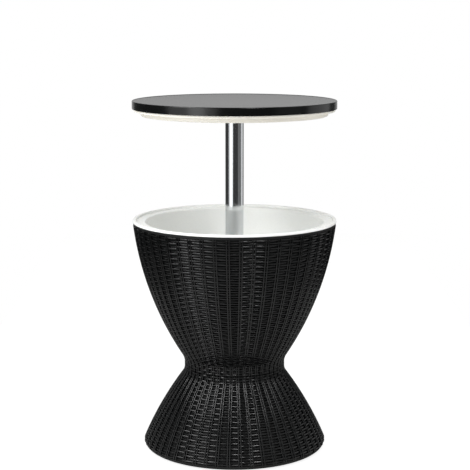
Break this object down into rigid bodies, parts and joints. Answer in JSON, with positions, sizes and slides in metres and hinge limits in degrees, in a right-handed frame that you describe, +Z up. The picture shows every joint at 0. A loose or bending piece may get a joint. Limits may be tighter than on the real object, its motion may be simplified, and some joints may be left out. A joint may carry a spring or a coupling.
{
  "type": "cooler table with lid",
  "caption": "Hourglass patio cooler table: a wicker-look body holds a drained ice tub, and a round insulated table top lifts and locks on a central column as its lid.",
  "frame": {"origin": "on the floor under the middle of the base", "axes": "+Z up along the column; the drain plug is on the +Y side of the tub; the picture looks along +Y with +X to the right"},
  "size_m": [0.4988, 0.4988, 0.8605],
  "materials": {
    "black_top": "satin moulded polypropylene, fine texture",
    "black_wicker_resin": "moulded wicker pattern, satin",
    "black_resin": "plain moulded",
    "white_resin": "smooth satin polypropylene",
    "white_nylon": "smooth",
    "grey_nylon": "smooth",
    "column_metal": "drawn along its length and bright polished",
    "guide_steel": "zinc plated tube",
    "steel": "zinc plated",
    "rubber": "matt"
  },
  "bodies": {
    "cooler_body": {"guide_tube": "guide_steel", "guide_foot": "grey_nylon", "foot_bolt": "steel", "guide_bush": "white_nylon", "ice_bucket": "white_resin", "upper_body": "black_wicker_resin", "lower_body": "black_wicker_resin", "base_plate": "black_resin", "base_screws": "steel", "foot_pads": "rubber"},
    "lock_carriage": {"lock_sleeve": "grey_nylon"},
    "table_column": {"table_top": "black_top", "lid_liner": "white_resin", "lid_screws": "steel", "top_hub": "white_nylon", "hub_screws": "steel", "column_screws": "steel", "upper_tube": "column_metal", "tube_plug": "grey_nylon", "lock_spindle": "steel", "lock_cone": "grey_nylon", "spindle_nut": "steel"},
    "drain_ring": {"drain_seal": "rubber"},
    "drain_screw": {"drain_plug": "white_nylon"}
  },
  "joints": [
    {"name": "table_lift", "type": "slide", "parent": "cooler_body", "child": "lock_carriage", "axis": [0, 0, 1], "range_m": [-0.2576, 0]},
    {"name": "table_twist", "type": "hinge", "parent": "lock_carriage", "child": "table_column", "pos_m": [0, 0, 0.34], "axis": [0, 0, 1], "range_deg": [0, 90]},
    {"name": "drain_lift", "type": "slide", "parent": "cooler_body", "child": "drain_ring", "axis": [0, 0, 1], "range_m": [0, 0.09]},
    {"name": "drain_turn", "type": "hinge", "parent": "drain_ring", "child": "drain_screw", "pos_m": [0, 0.084, 0.3], "axis": [0, 0, 1], "range_deg": [0, 900]}
  ]
}
